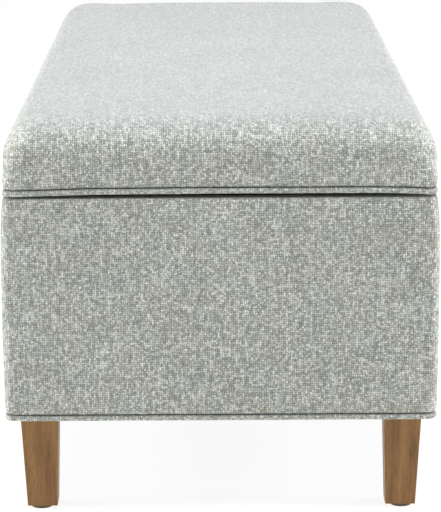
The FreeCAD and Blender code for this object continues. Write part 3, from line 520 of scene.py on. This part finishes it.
def baseProfile(sizes):
    # From the cloth folded under the base, up round the piping, the wall and over the rim:
    # inset from the face and height.
    low = baseLow[2]
    seam = low + sizes["seamHeight"] - 0.001
    turn = np.linspace(0, math.pi / 2, 7)
    r = sizes["rimRound"]
    wall = np.linspace(seam + 0.0062, rim - r, 20)
    parts = [
        ([0.0195, 0.013, 0.0075, 0.0066, 0.0064],
         [low, low, low, low + 0.0006, low + 0.002]),
        ([0.0062, 0.0056, 0.0040, 0.0026, 0.0014],
         [seam - 0.0012, seam - 0.0001, seam + 0.0004, seam + 0.0011, seam + 0.0022]),
        ([0.0005], [seam + 0.0038]),
        (np.zeros(len(wall)), wall),
        (r * (1 - np.cos(turn[1:])), rim - r + r * np.sin(turn[1:])),
        ([0.008, 0.013, 0.018, 0.0222, 0.0237, 0.0242],
         [rim, rim, rim, rim - 0.0002, rim - 0.0012, rim - 0.004]),
    ]
    inset = np.concatenate([np.asarray(part[0], float) for part in parts])
    height = np.concatenate([np.asarray(part[1], float) for part in parts])
    return inset, height


def makeBaseCover(sizes):
    # The profile carried round the outline. The walls stand out by swellOut, less powers of
    # the height that draw them in at the bottom seam and at the rim.
    corner = sizes["corner"]
    path = outlinePath(corner, 0.016, 0.012, 6)
    inset, height = baseProfile(sizes)
    x, y = ringPoints(path, corner, inset)
    z = np.repeat(height[:, None], x.shape[1], axis=1)
    outX, outY = np.cos(path[2])[None, :], np.sin(path[2])[None, :]
    low, high = baseLow[2] + 0.006, rim
    t = np.clip((z - low) / (high - low), 0, 1)
    lower = np.clip(1 - t / 0.66, 0, 1) ** 2.2
    upper = np.clip((t - 0.72) / 0.28, 0, 1) ** 3
    grow = sizes["swellOut"] - sizes["drawIn"] * lower - sizes["rimDraw"] * upper
    onWall = np.clip(1 - inset / 0.006, 0, 1)[:, None]
    waves = 0.00035 * ripple(x + y * 0.7, z * 1.2 + y, 0.13, 3) * onWall
    grow = grow * onWall + waves
    crease = np.exp(-((np.abs(y - middle[1]) - (half[1] - corner)) / 0.0013) ** 2)
    crease = crease * (np.abs(np.cos(path[2])) > 0.9)[None, :] * onWall * sizes["crease"]
    x = x + outX * (grow - crease)
    y = y + outY * grow
    points = np.stack([x, y, z], axis=-1).reshape(-1, 3)
    faces = gridFaces(*x.shape, closed=True)
    along = np.concatenate([[0], np.cumsum(np.hypot(np.diff(inset), np.diff(height)))])
    v = np.repeat(along[:, None], x.shape[1], axis=1)
    columns = np.tile(np.arange(x.shape[1]), x.shape[0] - 1)
    following = np.roll(path[2], -1)
    following = np.where(following < path[2] - 3, following + 2 * math.pi, following)
    facing = (0.5 * (path[2] + following))[columns]
    uvs = sideUvs(faces, x, y, v, facing)
    piece = makePiece("baseLinenCover", points, faces, uvs, "base", "upholstery",
                      ["base_cover"], thick=0.0011)
    free = (z > low + 0.012) & (z < rim - 0.012) & (onWall > 0.9)
    held = np.where(free, 0.0, 1.0).ravel()
    swell(piece, held, sizes["sim"])
    smooth = piece.modifiers.new("softer", "SUBSURF")
    smooth.levels = smooth.render_levels = 1
    piece.modifiers.move(len(piece.modifiers) - 1, 0)
    return piece


baseCover = makeBaseCover(baseCloth)


def onBoards(points):
    # The level stretch of the four faces, short of the rounded corners, seam and rim.
    inside = half - baseCloth["corner"]
    awayX = np.abs(points[:, 0] - middle[0]) < inside[0] + 1e-4
    awayY = np.abs(points[:, 1] - middle[1]) < inside[1] + 1e-4
    return (awayX | awayY) & (points[:, 2] > baseLow[2] + 0.0085) & (points[:, 2] < rim - 0.003)


basePads = innerLayer("baseFoamPads", baseCover, onBoards, 0.0013, 0.0058, "base", "foam",
                      ["front_pad", "back_pad", "left_pad", "right_pad"])
print("base cover made")


lidCloth = {
    "edge": 0.038,            # rounding of the top edges
    "corner": 0.042,          # upright corners at the top
    "seamCorner": 0.012,      # upright corners at the seam
    "seamHeight": 0.006,      # seam above the underside of the lid
    "drawIn": 0.0026,         # the sides at the seam
    "foldUnder": 0.0257,
    "sim": {"pressure": 3.0, "stretch": 15.0, "bending": 1.5, "cap": 0.0022},
}


def spacing(reach, stops, pieces):
    # Distances from 0 to reach, each stretch between stops cut into its own number of steps.
    cuts = [np.linspace(a, b, n, endpoint=False) for a, b, n in zip(stops[:-1], stops[1:], pieces)]
    return np.concatenate(cuts + [np.array([stops[-1]])])


def lidProfile(sizes):
    # Below the rounding, down the side to the seam, in behind the piping and under the lid:
    # inset and height against the distance along the cloth.
    seam = lidLow[2] + sizes["seamHeight"]
    under = lidLow[2]
    inset = np.array([0, 0, 0.0004, 0.0013, 0.0026, 0.0042, 0.0058, 0.0063, 0.0065, 0.0075,
                      0.013, sizes["foldUnder"]])
    height = np.array([lidTop - sizes["edge"], seam + 0.0068, seam + 0.0040, seam + 0.0020,
                       seam + 0.0008, seam + 0.0003, seam - 0.0004, seam - 0.0016,
                       under + 0.0014, under + 0.0003, under, under])
    along = np.concatenate([[0], np.cumsum(np.hypot(np.diff(inset), np.diff(height)))])
    return along, inset, height


def cornerPlan(turn, radius, reach):
    # Half-square with a rounded corner: goes up one straight part, round a quarter turn of
    # that radius and back along the other. turn is 0 to 1, reach the size of the square.
    folded = np.where(turn > 0.5, 1 - turn, turn) * 2
    straight = np.maximum(reach - radius, 0)
    length = straight + radius * math.pi / 4
    way = folded * length
    bend = np.clip((way - straight) / np.maximum(radius, 1e-6), 0, math.pi / 4)
    a = straight + radius * np.cos(bend)
    b = np.where(way < straight, way, straight + radius * np.sin(bend))
    return np.where(turn > 0.5, b, a), np.where(turn > 0.5, a, b)


def makeLidCover(sizes):
    # A square grid laid over the lid. A point's distance past the corner centres runs level,
    # round the edge through a quarter turn, down the side and under; in a corner the
    # distance is spread round a square whose corner radius falls from the top to the seam.
    edge, corner = sizes["edge"], sizes["corner"]
    along, insets, heights = lidProfile(sizes)
    flat = corner - edge
    bow = edge * math.pi / 2
    tail = flat + bow + along[2:]
    sideSteps = np.concatenate([
        spacing(1, [flat, flat + bow, flat + bow + along[1]], [13, 6]), tail])
    centreX, centreY = half[0] - corner, half[1] - corner
    innerX = np.linspace(0, centreX, int(centreX / 0.0115) + 1)
    innerY = np.linspace(0, centreY, int(centreY / 0.0115) + 1)
    oneX = np.concatenate([innerX, centreX + sideSteps])
    oneY = np.concatenate([innerY, centreY + sideSteps])
    s = np.concatenate([-oneX[:0:-1], oneX])[:, None]
    t = np.concatenate([-oneY[:0:-1], oneY])[None, :]
    s, t = np.broadcast_arrays(s, t)
    a = np.maximum(np.abs(s) - centreX, 0)
    b = np.maximum(np.abs(t) - centreY, 0)
    rho = np.maximum(a, b)
    angle = np.clip((rho - flat) / edge, 0, math.pi / 2)
    wayDown = np.maximum(rho - flat - bow, 0)
    inset = np.interp(wayDown, along, insets)
    height = np.where(wayDown > 0, np.interp(wayDown, along, heights),
                      lidTop - edge + edge * np.cos(angle))
    outward = np.where(rho < flat, rho, flat + edge * np.sin(angle))
    ease = np.clip((lidTop - height) / (lidTop - lidLow[2] - sizes["seamHeight"]), 0, 1)
    radius = np.minimum(corner + (sizes["seamCorner"] - corner) * ease, outward)
    reach = np.maximum(outward - inset, 1e-5)
    radius = np.clip(radius - inset, 0.0015, reach)
    lesser = np.minimum(a, b) / np.maximum(rho, 1e-9)
    turn = np.where(a >= b, 0.5 * lesser, 1 - 0.5 * lesser)
    inCorner = (a > 0) & (b > 0)
    planA, planB = cornerPlan(turn, radius, reach)
    offX = np.where(inCorner, planA, np.where(a > 0, reach, 0))
    offY = np.where(inCorner, planB, np.where(b > 0, reach, 0))
    signX, signY = np.sign(s), np.sign(t)
    x = middle[0] + signX * (np.minimum(np.abs(s), centreX) + offX)
    y = middle[1] + signY * (np.minimum(np.abs(t), centreY) + offY)
    z = height.copy()
    # the sides belly out at half height and draw in at the seam
    tall = lidTop - edge - (lidLow[2] + sizes["seamHeight"])
    h = np.clip((height - lidLow[2] - sizes["seamHeight"]) / tall, 0, 1)
    side = np.clip((angle - 0.9) / 0.5, 0, 1) * (inset < 0.006)
    belly = (-sizes["drawIn"] * (1 - h) ** 1.5 + 0.0004 * np.sin(math.pi * h)) * side
    lengthOff = np.maximum(np.hypot(offX, offY), 1e-6)
    x = x + signX * belly * np.where(inCorner, offX / lengthOff * 1.2, (a > 0) * 1.0)
    y = y + signY * belly * np.where(inCorner, offY / lengthOff * 1.2, (b > 0) * 1.0)
    lowPart = np.clip((lidLow[2] + 0.030 - z) / 0.020, 0, 1) * (z > lidLow[2] + 0.0009)
    z = z + seamWave(x, y) * lowPart
    z = z + 0.0005 * ripple(x, y, 0.34, 9) * (rho < flat + 0.5 * edge)
    points = np.stack([x, y, z], axis=-1).reshape(-1, 3)
    faces = gridFaces(*x.shape)[:, ::-1]
    middleA = a.ravel()[faces].mean(axis=1)
    middleB = b.ravel()[faces].mean(axis=1)
    endChart = (middleA >= middleB)[:, None]
    faceS, faceT = s.ravel()[faces], t.ravel()[faces]
    u = np.where(endChart, y.ravel()[faces], middle[1] + faceT)
    v = np.where(endChart, faceS, x.ravel()[faces])
    uvs = np.stack([u, v], axis=-1)
    piece = makePiece("lidLinenCover", points, faces, uvs, "lid", "upholstery",
                      ["lid_cover"], thick=0.0011)
    held = np.where(z > lidLow[2] + 0.016, 0.0, 1.0).ravel()
    swell(piece, held, sizes["sim"])
    smooth = piece.modifiers.new("softer", "SUBSURF")
    smooth.levels = smooth.render_levels = 1
    piece.modifiers.move(len(piece.modifiers) - 1, 0)
    return piece


lidCover = makeLidCover(lidCloth)
lidWadding = innerLayer("lidSoftWadding", lidCover, lambda points: points[:, 2] > lidLow[2] + 0.012,
                        0.0013, 0.0022, "lid", "wadding", ["lid_wadding"])
lidFoam = innerLayer("lidFoamBlock", lidCover, lambda points: points[:, 2] > lidLow[2] + 0.015,
                     0.0040, 0.0120, "lid", "foam", ["lid_foam"])
print("lid cover made")


piping = {"radius": 0.003, "corner": 0.012, "facets": 14}


def makePiping(name, sizes, level, body, node, wave, inset=0.003):
    # A round cord carried along the outline: at each point a circle in the plane of the
    # outward direction and the upright, its centre one radius in from the face.
    radius, facets = sizes["radius"], sizes["facets"]
    path = outlinePath(sizes["corner"], 0.006, 0.006, 8)
    facing = path[2]
    cx, cy = (row[0] for row in ringPoints(path, sizes["corner"], [inset]))
    lift = wave(cx, cy)
    around = np.arange(facets) * (2 * math.pi / facets)
    size = radius * (1 + 0.05 * ripple(cx, cy, 0.03, 11))
    out = size[:, None] * np.cos(around)[None, :]
    up = size[:, None] * np.sin(around)[None, :]
    x = cx[:, None] + out * np.cos(facing)[:, None]
    y = cy[:, None] + out * np.sin(facing)[:, None]
    z = level + lift[:, None] + up
    points = np.stack([x, y, z], axis=-1).reshape(-1, 3)
    faces = ringFaces(*x.shape)
    way = np.concatenate([[0], np.cumsum(np.hypot(np.diff(cx), np.diff(cy)))])
    total = way[-1] + math.hypot(cx[0] - cx[-1], cy[0] - cy[-1])
    rows = np.repeat(np.arange(len(cx)), facets)
    columns = np.tile(np.arange(facets), len(cx))
    u0 = way[rows]
    u1 = np.where(rows + 1 < len(cx), np.append(way, total)[rows + 1], total)
    v0 = columns * (2 * math.pi * radius / facets)
    v1 = v0 + 2 * math.pi * radius / facets
    uvs = np.stack([np.stack([u0, v0], -1), np.stack([u0, v1], -1),
                    np.stack([u1, v1], -1), np.stack([u1, v0], -1)], axis=1)
    return makePiece(name, points, faces, uvs, body, "upholstery", [node])


lidPiping = makePiping("lidLinenPiping", piping, lidLow[2] + 0.003, "lid", "lid_piping",
                       seamWave, 0.0044)
basePiping = makePiping("baseLinenPiping", piping, baseLow[2] - 0.0008 + 0.003, "base",
                        "base_piping", lambda x, y: 0.00035 * ripple(x, y, 0.17, 21))
print("pipings made")


lining = {
    "room": 0.0252,           # from the face of the cover to the lining
    "thick": 0.0008,
    "top": 0.0035,            # below the rim
    "corner": 0.028,
    "waves": 0.0006,
}


def makeWallLining(sizes):
    # The cloth inside the box: the outline of the room with its corners just rounded, and
    # shallow waves that fade out along the top and bottom.
    corner = sizes["corner"]
    path = outlinePath(corner, 0.018, 0.018, 3)
    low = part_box("wall_lining")[0][2] + 0.001
    height = np.concatenate([np.linspace(low, rim - sizes["top"], 22), [rim - 0.0022]])
    inset = np.full(len(height), sizes["room"])
    inset[-1] = sizes["room"] - 0.0006
    x, y = ringPoints(path, corner, inset)
    z = np.repeat(height[:, None], x.shape[1], axis=1)
    t = (z - low) / (rim - low)
    waves = 0.5 + 0.5 * ripple(x + y, z * 1.6 + y * 0.3, 0.12, 33)
    push = sizes["waves"] * waves * np.sin(math.pi * np.clip(t, 0, 1))
    x = x - np.cos(path[2])[None, :] * push
    y = y - np.sin(path[2])[None, :] * push
    points = np.stack([x, y, z], axis=-1).reshape(-1, 3)
    faces = gridFaces(*x.shape, closed=True)[:, ::-1]
    columns = np.tile(np.arange(x.shape[1]), x.shape[0] - 1)
    uvs = sideUvs(faces, x, y, z, path[2][columns])
    return makePiece("wallLining", points, faces, uvs, "base", "lining", ["wall_lining"],
                     thick=sizes["thick"])


def makeFlatCloth(name, node, body, slotName, facesUp, sizes):
    # A level sheet over a node's area: its height waves a little and its edge turns away.
    low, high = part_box(node)
    x0, x1, y0, y1 = low[0], high[0], low[1], high[1]
    edge = np.array([0.0, 0.0012, 0.003, 0.007])

    def line(a, b, step):
        inner = np.linspace(a + 0.016, b - 0.016, max(int((b - a) / step), 4))
        return np.concatenate([a + edge, inner, b - edge[::-1]])

    x, y = np.meshgrid(line(x0, x1, 0.014), line(y0, y1, 0.014), indexing="ij")
    fromEdge = np.minimum(np.minimum(x - x0, x1 - x), np.minimum(y - y0, y1 - y))
    fade = np.clip(fromEdge / 0.03, 0, 1)
    turnAway = sizes["edgeDip"] * np.exp(-fromEdge / 0.0018)
    level = high[2] if facesUp else low[2]
    way = 1.0 if facesUp else -1.0
    waves = sizes["wave"] * ripple(x, y, sizes["length"], sizes["seed"])
    z = level + way * (waves * fade - turnAway)
    points = np.stack([x, y, z], axis=-1).reshape(-1, 3)
    faces = gridFaces(*x.shape)
    if not facesUp:
        faces = faces[:, ::-1]
    uvs = np.stack([y.ravel()[faces], x.ravel()[faces]], axis=-1)
    return makePiece(name, points, faces, uvs, body, slotName, [node], thick=sizes["thick"])


wallLining = makeWallLining(lining)
floorLining = makeFlatCloth("floorLining", "floor_lining", "base", "lining", True, {
    "wave": 0.0004, "length": 0.19, "seed": 41, "edgeDip": 0.0, "thick": 0.0008})
lidLining = makeFlatCloth("lidLining", "lid_lining", "lid", "lining", False, {
    "wave": 0.0003, "length": 0.16, "seed": 43, "edgeDip": 0.0010, "thick": 0.0008})
dustCover = makeFlatCloth("dustCover", "dust_cover", "base", "dust_cloth", False, {
    "wave": 0.0005, "length": 0.15, "seed": 47, "edgeDip": 0.0004, "thick": 0.0006})
print("linings made")


def makeFloor():
    x, y = np.meshgrid(np.linspace(-30, 30, 7), np.linspace(-30, 30, 7), indexing="ij")
    points = np.stack([x, y, np.zeros_like(x)], axis=-1).reshape(-1, 3)
    mesh = bpy.data.meshes.new("studioFloor")
    mesh.from_pydata(points.tolist(), [], gridFaces(7, 7).tolist())
    floor = bpy.data.objects.new("studioFloor", mesh)
    bpy.context.scene.collection.objects.link(floor)
    paint = Finish("paleFloor")
    place = paint.node("ShaderNodeTexCoord", {}, {}, "Object")
    dust = paint.noise(place, 2.0, 2.0)
    colour = paint.blend(dust, (0.26, 0.26, 0.26), (0.29, 0.29, 0.29))
    mesh.materials.append(paint.surface(
        {"Specular IOR Level": 0.0, "Roughness": 1.0, "Emission Strength": 0.87,
         "Emission Color": (1.0, 1.0, 1.0, 1.0)}, {"Base Color": colour}))


light = {
    "sky": 0.20,
    "overhead": (142.0, 3.0, (0.45, 0.0, 3.2)),     # watts, side of the square, place
    "leftSide": (86.0, 2.0, (0.0, -3.2, 1.1)),
    "rightSide": (84.0, 2.0, (0.0, 3.2, 1.1)),
    "overheadTint": (0.93, 0.955, 1.0),
}


def makeLight(name, power, size, position):
    lamp = bpy.data.lights.new(name, "AREA")
    lamp.shape, lamp.size, lamp.energy = "SQUARE", size, power
    holder = bpy.data.objects.new(name, lamp)
    holder.location = position
    aim = -holder.location.copy()
    aim.z += 0.2
    holder.rotation_euler = aim.to_track_quat("-Z", "Y").to_euler()
    bpy.context.scene.collection.objects.link(holder)


def makeStudio(sizes):
    # White where the camera sees past the floor, and a dim sky for the light.
    world = bpy.data.worlds.new("studio")
    bpy.context.scene.world = world
    sky = Finish("studio", world)
    white = (1.0, 1.0, 1.0, 1.0)
    dim = sky.node("ShaderNodeBackground", {}, {0: white, 1: sizes["sky"]})
    shown = sky.node("ShaderNodeBackground", {}, {0: white})
    ray = sky.node("ShaderNodeLightPath", {}, {}, "Is Camera Ray")
    pick = sky.node("ShaderNodeMixShader", {}, {0: ray, 1: dim, 2: shown})
    sky.node("ShaderNodeOutputWorld", {}, {0: pick})
    for name in ("overhead", "leftSide", "rightSide"):
        makeLight(name, *sizes[name])
    bpy.data.lights["overhead"].color = sizes["overheadTint"]
    bpy.context.scene.view_settings.view_transform = "Standard"


camera = {
    "position": (3.192, -0.009, 0.8386),
    "down": 12.008,           # degrees below level
    "yaw": 0.114,             # towards +Y from -X
    "roll": 0.282,
    "lens": 181.02,
}


def makeCamera(sizes):
    down, yaw, roll = (math.radians(sizes[key]) for key in ("down", "yaw", "roll"))
    ahead = np.array([-math.cos(down) * math.cos(yaw), math.cos(down) * math.sin(yaw),
                      -math.sin(down)])
    right = np.cross(ahead, [0, 0, 1])
    right = right / np.linalg.norm(right)
    up = np.cross(right, ahead)
    tiltedRight = math.cos(roll) * right - math.sin(roll) * up
    tiltedUp = math.cos(roll) * up + math.sin(roll) * right
    lens = bpy.data.cameras.new("studioLens")
    lens.sensor_fit, lens.sensor_width, lens.lens = "AUTO", 36.0, sizes["lens"]
    lens.clip_start, lens.clip_end = 0.05, 100.0
    holder = bpy.data.objects.new("camera", lens)
    turned = Matrix([
        [tiltedRight[i], tiltedUp[i], -ahead[i], sizes["position"][i]] for i in range(3)
    ] + [[0, 0, 0, 1]])
    holder.matrix_world = turned
    bpy.context.scene.collection.objects.link(holder)
    bpy.context.scene.camera = holder


makeFloor()
makeStudio(light)
makeCamera(camera)
print("studio made")
